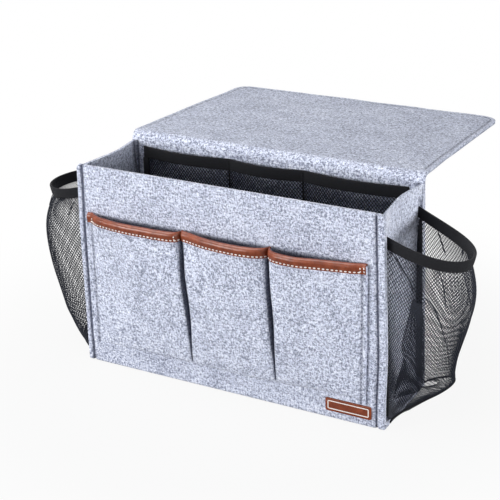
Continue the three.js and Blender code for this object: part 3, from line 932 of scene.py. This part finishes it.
# %% The leather's stitches
def sew(thread, line, length=2.8, pitch=4.2, width=1.5):
    """Lays stitches along a line of (point, outward normal) pairs that are close together."""
    walked = [0]
    for (a, _), (b, _) in zip(line, line[1:]):
        walked.append(walked[-1] + (b - a).length)

    def at(distance):
        for i in range(len(line) - 1):
            if distance <= walked[i + 1]:
                break
        share = (distance - walked[i]) / max(walked[i + 1] - walked[i], 1e-6)
        return line[i][0].lerp(line[i + 1][0], share), line[i][1]

    place = pitch / 2
    while place + length < walked[-1]:
        (a, up), (b, _) = at(place), at(place + length)
        ahead = (b - a).normalized()
        across = up.cross(ahead).normalized()
        up = ahead.cross(across)
        columns = (ahead * length / 2, across * width / 2, up * width / 2.4)
        matrix = Matrix.Translation((a + b) / 2) @ Matrix(columns).transposed().to_4x4()
        bmesh.ops.create_uvsphere(thread, u_segments=7, v_segments=5, radius=1, matrix=matrix)
        place += pitch


def on_binding(x, rise):
    """A place on a binding's front face, this far above its foot, and the way it looks."""
    return binding_place(x, (-BINDING_RADIUS, foot_rise + rise))[0] - front * 0.2, front


leather_seams = bmesh.new()
for bay in bays.values():
    sew(leather_seams, [on_binding(x, STITCH_RISE) for x in bay[2:-5]])
end_seams = (POCKET_SIDES[0] + 3.4, DIVIDERS[0] - 5.7, POCKET_SIDES[1] - 1, POCKET_SIDES[1] + 2.6)
for x in end_seams:
    up_the_end = [on_binding(x, rise) for rise in even(0.2, 8, 0.5)]
    sew(leather_seams, up_the_end, length=2, pitch=3.2)
finish("leather_stitches", leather_seams, pale_thread, "box")

# %% The box's stitches
FELT_STITCH = dict(length=2.8, pitch=4.4, width=0.95)


def on_pocket(x, z, sunk):
    """A place on the pocket sheet, sunk into its seam, and the way it looks."""
    return pocket_place(x, z)[0] - front * sunk, front


box_seams = bmesh.new()
for side in (1, -1):
    back_edge = [
        (strip_place((side, CORNER_SEAM), along)[0] + front * 0.85, -front)
        for along in even(FOLD_START - 205, FOLD_START - 6, 3)]
    sew(box_seams, back_edge, **FELT_STITCH)
for x in POCKET_SIDES:
    sew(box_seams, [on_pocket(x, z, 0.65) for z in even(31, 162, 3)], **FELT_STITCH)
foot_line = even(POCKET_SIDES[0] + 2, POCKET_SIDES[1] - 2, 4)
sew(box_seams, [on_pocket(x, foot_seam(x), 0.3) for x in foot_line], **FELT_STITCH)
finish("box_stitches", box_seams, grey_thread, "box")

# %% The flap's stitches
ROUND = FLAP_CORNER - FLAP_SEAM
LAST_ROW = STRIP_LENGTH - FLAP_CORNER
SUNK = 0.75
flap_up = Vector((0, math.sin(math.radians(DROOP)), math.cos(math.radians(DROOP))))


def flap_spot(x, along):
    """A place on the flap's upper face, x from its middle."""
    y, z = along_strip(along)
    return Vector((x, y, z + flap_wave(x, along))) + flap_up * (FELT - SUNK)


def flap_half(along):
    """Half the flap's width, which narrows towards its free end."""
    return HALF_WIDTH - FLAP_NARROWS * max(along - FLAP_START, 0) / FLAP_REACH


straight = [
    (flap_half(along) - FLAP_SEAM, along) for along in even(FLAP_START + 10, LAST_ROW, 4)]
corner_middle = flap_half(STRIP_LENGTH) - FLAP_CORNER
corner = [
    (corner_middle + ROUND * math.cos(a), LAST_ROW + ROUND * math.sin(a))
    for a in even(0, math.pi / 2, math.pi / 16)]
half_round = straight + corner
far_edge = [(x, STRIP_LENGTH - FLAP_SEAM) for x in even(corner[-1][0], -corner[-1][0], 5)[1:-1]]
outline = half_round + far_edge + [(-x, along) for x, along in reversed(half_round)]
flap_seams = bmesh.new()
for face in (1, -1):
    through_felt = flap_up * (FELT - 2 * SUNK) * (face - 1) / 2
    seam_line = [(flap_spot(x, along) + through_felt, flap_up * face) for x, along in outline]
    sew(flap_seams, seam_line, **FELT_STITCH)
finish("flap_stitches", flap_seams, grey_thread, "flap")

# %% [markdown]
# ## Net
# Net is mostly holes, so a surface with a see-through material would look flat at its folds. Here
# each strand is there: a grid is laid, every face is poked, and its old edges are dissolved,
# which leaves staggered diamonds. Slivers at the edges are dropped, each diamond is inset by part
# of a strand, the middles are deleted, and the solidify operator gives the strands a thickness.

# %% Net helper
STRAND = 0.56
NET_CELL = (3.4, 4.4)
NET_COVER = 0.7
SLIVER = 1.8


def knit_net(columns, rows, place, strand=STRAND):
    """A net of diamonds laid by place(column, row)."""
    net, spots = flat_grid(columns, rows)
    for vert, spot in zip(net.verts, spots):
        vert.co = place(*spot)
    net.normal_update()
    grid_edges = [edge for edge in net.edges if not edge.is_boundary]
    bmesh.ops.poke(net, faces=net.faces[:])
    bmesh.ops.dissolve_edges(net, edges=grid_edges, use_verts=False)
    net.normal_update()
    slivers = [face for face in net.faces if face.calc_area() < SLIVER]
    bmesh.ops.delete(net, geom=slivers, context="FACES")
    diamonds = net.faces[:]
    bmesh.ops.inset_individual(net, faces=diamonds, thickness=strand * 0.65, use_even_offset=False)
    bmesh.ops.delete(net, geom=diamonds, context="FACES")
    net.normal_update()
    bmesh.ops.solidify(net, geom=net.faces[:], thickness=strand * 0.8)
    return net


def net_area(flat):
    """The area of yarn in a net of this flat size."""
    return NET_COVER * flat[0] * flat[1]


print("net cells of", NET_CELL, "mm, strands of", STRAND, "mm")

# %% [markdown]
# ## The inner pocket
# Inside, a net pocket hangs on the back: a black band along its mouth, tapes at its ends and
# foot, and two seams that part it in three. One net could span all three, but its cells would
# run through the seams, so there is a piece for each bay. It swells a little away from the back
# like the front pockets do.

# %% The inner pocket
INNER_STOPS = (-150, -47, 37, 150)
INNER_TOP, INNER_BOTTOM, BAND = 214, 18, 12.5
INNER_SWELL = 6
BACK_INSIDE = DEPTH / 2 - FELT
TAPE = 1.8


def inner_swell(x, first, last):
    """How far a bay of the inner pocket stands off the back."""
    return INNER_SWELL * math.sin(math.pi * (x - first) / (last - first))


def inner_face(x, out, z, wall, thickness):
    """The face of the inner pocket that looks to the mouth."""
    share = (z - INNER_BOTTOM) / (INNER_TOP - INNER_BOTTOM)
    return Vector((spread(x, z), wall - GAP - thickness - out * max(share, 0) ** 0.8, z))


band_columns = [(INNER_STOPS[0], 0)]
for word, first, last in zip(("left", "middle", "right"), INNER_STOPS, INNER_STOPS[1:]):
    band_columns += [(x, inner_swell(x, first, last)) for x in even(first, last, 4)[1:]]

    def inner_net_place(x, z):
        out = inner_swell(x, first, last)
        out += 0.8 * noise.noise(Vector((x, 11, z)) / 30) * min(out / 3, 1)
        return inner_face(x, out, z, BACK_INSIDE - 0.4, 0.5)

    columns = even(first, last, NET_CELL[0])
    rows = even(INNER_BOTTOM, INNER_TOP - BAND, NET_CELL[1])
    inner_piece = finish(
        f"{word}_inner_net", knit_net(columns, rows, inner_net_place, strand=0.72), yarn, "box",
        ["inner_net"])
    cut_size = ((last - first) * MM, 0.184)
    net_area(cut_size)


def band_place(column, z):
    x, out = column
    return inner_face(x, out, z, BACK_INSIDE, TAPE), Vector((x, z, 0)), 0


band = lay_cloth(band_columns, even(INNER_TOP - BAND, INNER_TOP, 2.5), band_place, TAPE, edge=0.6)
finish("inner_band", band, tape, "box", ["inner_net_band"])

# %% The inner pocket's tapes and seams
TAPE_FACE = BACK_INSIDE - GAP - 2.6


def upright_tape(columns, rows, x_middle, face_y):
    """A flat black tape that stands upright in a seam."""
    def place(x, z):
        return Vector((spread(x_middle, z) + x, face_y, z)), Vector((z, x, 0)), 0

    return lay_cloth(columns, rows, place, TAPE, edge=0.5)


def floor_tape_place(x, z):
    return Vector((spread(x, z), BACK_INSIDE - GAP - TAPE, z)), Vector((x, z, 0)), 0


for word, side in (("right", 1), ("left", -1)):
    end_tape = upright_tape([-3.5, 0, 3.5], even(13, INNER_TOP - BAND, 6), side * 147.2, TAPE_FACE)
    finish(f"{word}_inner_tape", end_tape, tape, "box", [f"inner_net_{word}_tape"])
floor_tape = lay_cloth(
    even(INNER_STOPS[0], INNER_STOPS[-1], 6), [12.7, 15.2, 17.7], floor_tape_place, TAPE, edge=0.5)
finish("inner_floor_tape", floor_tape, tape, "box", ["inner_net_floor_tape"])
for word, x in (("first", INNER_STOPS[1]), ("second", INNER_STOPS[2])):
    seam_tape = upright_tape([-0.5, 0, 0.5], even(INNER_BOTTOM, INNER_TOP - 0.5, 6), x, TAPE_FACE)
    finish(f"{word}_inner_seam", seam_tape, tape, "box")

# %% [markdown]
# ## The side bags
# Each side carries a bag of net that hangs out from the corner seams like a sling. Its rim is a
# black tape that droops between the seams and leans out. Below it the net swells, then rounds in
# to a sewn floor. Flat panels would look stiff, so the bag is lofted: at each height a Bezier curve
# goes from the front seam to the back seam, and its two middle points move from the floor's places
# to the mouth's. The two bags slump differently, so each has its own numbers.

# %% The bags' measures
BAG_EDGE, BAG_SEAM, BAG_FLOOR = 161.5, 40, 3.6
BAG_TOE = (7, 3)
BAG_ROUND = 230
RIM_SEAM_TOP, RIM_DROOP, RIM_HEIGHT = 199, 11, 11.5
bags = {
    "right": dict(
        mouth=((128, -77), (76, 22)), floor=((-2.7, -6.8), (90.1, 75.5)),
        belly=0.161, floor_round=21.3, floor_cut=(0.09, 0.03), seam_rise=(8, 22), ripples=5,
        tucks=[
            [(0.018, 186), (0.04, 180), (0.06, 171), (0.083, 161.5), (0.098, 151)],
            [(0.195, 179), (0.212, 164), (0.24, 136)],
            [(0.335, 178), (0.36, 158), (0.427, 130)],
            [(0.145, 147.7), (0.185, 137.6), (0.275, 107), (0.372, 80.6), (0.478, 51)],
            [(0.905, 182), (0.885, 167), (0.87, 155)],
            [(0.718, 178), (0.758, 162)],
        ],
        folds=([(26, 0.105), (49, 0.103), (72, 0.113), (86, 0.09), (110, 0.088), (151, 0.098)],
               [(26, 0.295), (59, 0.26), (86, 0.208), (111, 0.173), (128, 0.147), (151, 0.122)])),
    "left": dict(
        mouth=((87, -66), (69, 40)), floor=((109.4, -17), (90.5, 57.6)),
        belly=0.298, floor_round=35.5, floor_cut=(0.09, 0.034), seam_rise=(5, 5), ripples=2,
        tucks=[
            [(0.06, 184), (0.085, 172), (0.1, 160)],
            [(0.3, 178), (0.29, 165)],
            [(0.8, 180), (0.78, 160), (0.74, 135)],
        ],
        folds=([(135, 0.2), (149, 0.185), (161, 0.175), (171, 0.16), (180, 0.125)],
               [(135, 0.215), (149, 0.212), (161, 0.212), (171, 0.21), (180, 0.2)])),
}
print("tucks:", {word: len(bag["tucks"]) for word, bag in bags.items()})

# %% The bags' form
def rim_foot(a):
    """The height of the rim's lower edge."""
    return RIM_SEAM_TOP - RIM_DROOP * (1 - (2 * a - 1) ** 4) - RIM_HEIGHT


def floor_seam(bag, a):
    """The height of the seam between a bag's wall and its floor."""
    near, far = bag["seam_rise"]
    rise = near + (far - near) * ease(0.5, 0.85, a)
    return BAG_FLOOR + 0.2 + rise * math.sin(math.pi * a) ** 0.7


def floor_opening(bag, z):
    """How far the bag has rounded out from its floor at this height, from 0 to 1."""
    return math.sqrt(max(1 - (1 - min((z - BAG_FLOOR) / bag["floor_round"], 1)) ** 2, 0))


def bag_point(bag, a, z, out=0):
    """A place on a bag: a goes round from the front seam to the back one, out is off the net."""
    share = max((z - BAG_FLOOR) / (rim_foot(a) - BAG_FLOOR), 0)
    belly = 1 + bag["belly"] * math.sin(math.pi * share ** 1.8)
    opened = 0.04 + 0.96 * floor_opening(bag, z)
    toe = 1 - ease(BAG_FLOOR, 30, z)
    seam = BAG_SEAM + BAG_TOE[1] * toe
    start, end = Vector((BAG_TOE[0] * toe, -seam)), Vector((BAG_TOE[0] * toe, seam))
    pulls = []
    for home, low, high in zip((start, end), bag["floor"], bag["mouth"]):
        reach, along = Vector(low).lerp(Vector(high), share)
        pulls.append(Vector((home.x + reach * belly * opened, home.y + (along - home.y) * opened)))
    first, second = pulls
    b = 1 - a
    plan = start * b ** 3 + first * 3 * b * b * a + second * 3 * b * a * a + end * a ** 3
    ahead = (first - start) * b * b + (second - first) * 2 * b * a + (end - second) * a * a
    ahead.normalize()
    return Vector((BAG_EDGE + plan.x + out * ahead.y, plan.y - out * ahead.x, z))


reach = max(bag_point(bags["right"], i / 20, 120).x for i in range(21))
print(f"the right bag reaches x = {reach:.1f} mm")

# %% The bags' nets
def evenly(curve, step):
    """Shares from 0 to 1 of a curve that lie about a step apart along it."""
    fine = [i / 400 for i in range(401)]
    walked = [0]
    for s, t in zip(fine, fine[1:]):
        walked.append(walked[-1] + (curve(t) - curve(s)).length)
    shares, i = [], 0
    for mark in even(0, walked[-1], step):
        while i < 399 and walked[i + 1] < mark:
            i += 1
        shares.append(fine[i] + (mark - walked[i]) / (walked[i + 1] - walked[i]) / 400)
    return shares


def wall_columns(bag):
    """Places round a bag's wall, a net cell apart."""
    return evenly(lambda a: bag_point(bag, a, 150), NET_CELL[0])


def floor_columns(bag):
    """Places round a bag's floor, a net cell apart."""
    return evenly(lambda a: bag_point(bag, a, floor_seam(bag, a)), NET_CELL[0])[1:-1]


def hang_net(word, bag):
    """A bag's wall and its floor."""
    def wall_place(a, h):
        low = floor_seam(bag, a)
        z = low + h * (rim_foot(a) - GAP - low)
        loose = math.sin(math.pi * h) * math.sin(math.pi * a)
        out = 2.5 * noise.noise(Vector((a * 9, h * 2.5, bag["ripples"]))) * loose
        return bag_point(bag, a, z, out)

    def floor_place(a, share):
        opened = share * floor_opening(bag, floor_seam(bag, a))
        return bag_point(bag, a, BAG_FLOOR + bag["floor_round"] * (1 - math.sqrt(1 - opened ** 2)))

    rows = evenly(lambda h: bag_point(bag, 0.4, 12 + h * (rim_foot(0.4) - 12)), NET_CELL[1])
    wall_net = for_side(word, knit_net(wall_columns(bag), rows, wall_place))
    wall = finish(f"{word}_bag_net", wall_net, yarn, "box", [f"{word}_net_bag"])
    floor_rows = evenly(lambda share: floor_place(0.6, share), NET_CELL[1])
    floor_net = for_side(word, knit_net(floor_columns(bag), floor_rows, floor_place))
    floor = finish(f"{word}_bag_floor", floor_net, yarn, "box")
    cut_size = bag["floor_cut"]
    net_area(cut_size)


print("net columns:", {word: len(wall_columns(bag)) for word, bag in bags.items()})

# %% The bags' seams, folds and tucks
FOLD_STRAND = 0.7


def gather_net(word, bag):
    """The floor's seam, the fold where the net lies double, and the tucks."""
    def seam_place(a, rise):
        return bag_point(bag, a, floor_seam(bag, a) + rise, 1), Vector((a * 150, rise, 0)), 0

    seam = lay_cloth(floor_columns(bag), [-1.2, 0, 1.2], seam_place, TAPE, edge=0.6)
    finish(f"{word}_bag_floor_seam", for_side(word, seam), tape, "box")
    near, far = bag["folds"]

    def fold_place(share, z):
        a = through(near, z) * (1 - share) + through(far, z) * share
        return bag_point(bag, a, z + 1.1, 1.2)

    folded_rows = even(near[0][0], near[-1][0], NET_CELL[1])
    folded = knit_net(even(0, 1, 0.09), folded_rows, fold_place, strand=FOLD_STRAND)
    finish(f"{word}_bag_fold", for_side(word, folded), yarn, "box")
    for number, knots in enumerate(bag["tucks"], 1):
        turns = list(enumerate(a for a, _ in knots))
        heights = list(enumerate(z for _, z in knots))
        steps = len(knots) - 1

        def tuck_place(across, step):
            taper = math.sin(math.pi * (0.1 + 0.8 * step / steps))
            a, z = through(turns, step) + across * taper / BAG_ROUND, through(heights, step)
            return bag_point(bag, a, z, 1.1), Vector((across, z, 0)), 0

        tuck = lay_cloth([-0.75, 0, 0.75], even(0, steps, 0.1), tuck_place, 0.9, edge=0.3)
        finish(f"{word}_bag_tuck_{number}", for_side(word, tuck), yarn, "box")


print("folded net has strands of", FOLD_STRAND, "mm")

# %% The bags
END_TAPE_FACE, END_TAPE_HALF = 41.6, 2.7


def bind_bag(word, bag):
    """A bag's rim, and the tapes that hold its ends in the corner seams."""
    def rim_place(a, r):
        foot = bag_point(bag, a, rim_foot(a), 0.7 + 3 * r * math.sin(math.pi * a))
        puff, rise = 0.3 * math.sin(math.pi * r), r * RIM_HEIGHT
        return foot + Vector((puff, 0, rise)), Vector((a * BAG_ROUND, rise, 0)), 0

    rim = lay_cloth(wall_columns(bag), even(0, 1, 0.2), rim_place, 2.4, edge=0.9)
    finish(f"{word}_bag_rim", for_side(word, rim), tape, "box", [f"{word}_net_rim"])
    for end, side in (("front", -1), ("back", 1)):
        def end_place(x, z):
            return Vector((spread(x, z), side * END_TAPE_FACE, z)), Vector((z, x, 0)), 0

        half = side * END_TAPE_HALF
        columns = [BAG_EDGE - half, BAG_EDGE, BAG_EDGE + half]
        end_tape = lay_cloth(columns, even(13.3, 184, 6), end_place, TAPE, edge=0.5)
        finish(
            f"{word}_bag_{end}_tape", for_side(word, end_tape), tape, "box",
            [f"{word}_net_{end}_tape"])


for word, bag in bags.items():
    hang_net(word, bag)
    gather_net(word, bag)
    bind_bag(word, bag)

# %% [markdown]
# ## Light and floor
# The photograph has soft light and a white ground. A large lamp at the front left gives most of
# the light and shapes the felt, one lights the right side, and one lights the flap from above.
# The world adds little, but it is white to the camera and in reflections. The floor is grey paper
# mixed with a white glow that only the camera sees. A brighter lamp could also whiten it, but
# would bleach the felt. So the caddy keeps a faint shadow, and further out the floor is pure white.

# %% Light
WORLD_LIGHT = 0.1
world = bpy.data.worlds.new("studio")
bpy.context.scene.world = world
world.use_nodes = True
world_tree = world.node_tree
sky = world_tree.nodes["Background"]
begin = Fibre(world_tree)
seen = begin.node("ShaderNodeLightPath", output=0)
shiny = begin.node("ShaderNodeLightPath", output=3)
white = begin.node("ShaderNodeMath", {"operation": "MAXIMUM"}, {0: seen, 1: shiny})
sky.inputs["Color"].default_value = (1, 1, 1, 1)
strength = WORLD_LIGHT + white * (1 - WORLD_LIGHT)
world_tree.links.new(strength.socket, sky.inputs["Strength"])


def lamp(name, place, aim, width, height, power):
    """A soft lamp, its place, aim and size in metres."""
    light = bpy.data.lights.new(name, "AREA")
    light.shape = "RECTANGLE"
    light.size = width
    light.size_y = height
    light.energy = power
    made = bpy.data.objects.new(name, light)
    bpy.context.scene.collection.objects.link(made)
    made.location = place
    made.rotation_euler = (Vector(aim) - Vector(place)).to_track_quat("-Z", "Y").to_euler()
    print(f"{name}: {power} W")


lamp("key_lamp", (-1.25, -2, 0.6), (0, 0, 0.12), 1.25, 0.62, 51)
lamp("side_lamp", (1.75, -0.15, 0.19), (0.1, 0, 0.13), 0.9, 0.45, 29)
lamp("top_lamp", (-0.7, -0.4, 2.1), (0, 0.05, 0.2), 1.4, 1.4, 41)
bpy.context.scene.view_settings.view_transform = "Standard"

# %% The floor
FLOOR_GREY = (0.35, 0.35, 0.35, 1)
GLOW_NEAR = 0.92
floor_mesh = bmesh.new()
bmesh.ops.create_grid(floor_mesh, x_segments=1, y_segments=1, size=6)
bmesh.ops.translate(floor_mesh, vec=(0, 0, -0.5 * MM), verts=floor_mesh.verts[:])
floor_data = bpy.data.meshes.new("floor")
floor_mesh.to_mesh(floor_data)
floor_mesh.free()
floor = bpy.data.objects.new("floor", floor_data)
bpy.context.scene.collection.objects.link(floor)
paper, paper_shader, begin = new_finish(
    "white_paper", Roughness=1, Specular_IOR_Level=0, Base_Color=FLOOR_GREY)
glow = begin.node("ShaderNodeEmission", sockets={"Color": (1, 1, 1, 1), "Strength": 1.0})
to_camera = begin.node("ShaderNodeLightPath", output=0)
from_middle = begin.node(
    "ShaderNodeVectorMath", {"operation": "LENGTH"},
    {0: begin.node("ShaderNodeTexCoord", output=3)}, output=1)
far = begin.node(
    "ShaderNodeMapRange", {"interpolation_type": "SMOOTHSTEP"}, {0: from_middle, 1: 0.2, 2: 0.5})
surface = begin.node("ShaderNodeMixShader", sockets={
    0: to_camera * (GLOW_NEAR + far * (1 - GLOW_NEAR)),
    1: Fibre(paper.node_tree, paper_shader.outputs[0]),
    2: glow})
paper.node_tree.links.new(surface.socket, paper.node_tree.nodes["Material Output"].inputs[0])
floor_data.materials.append(paper)
print("floor:", len(paper.node_tree.nodes), "nodes")
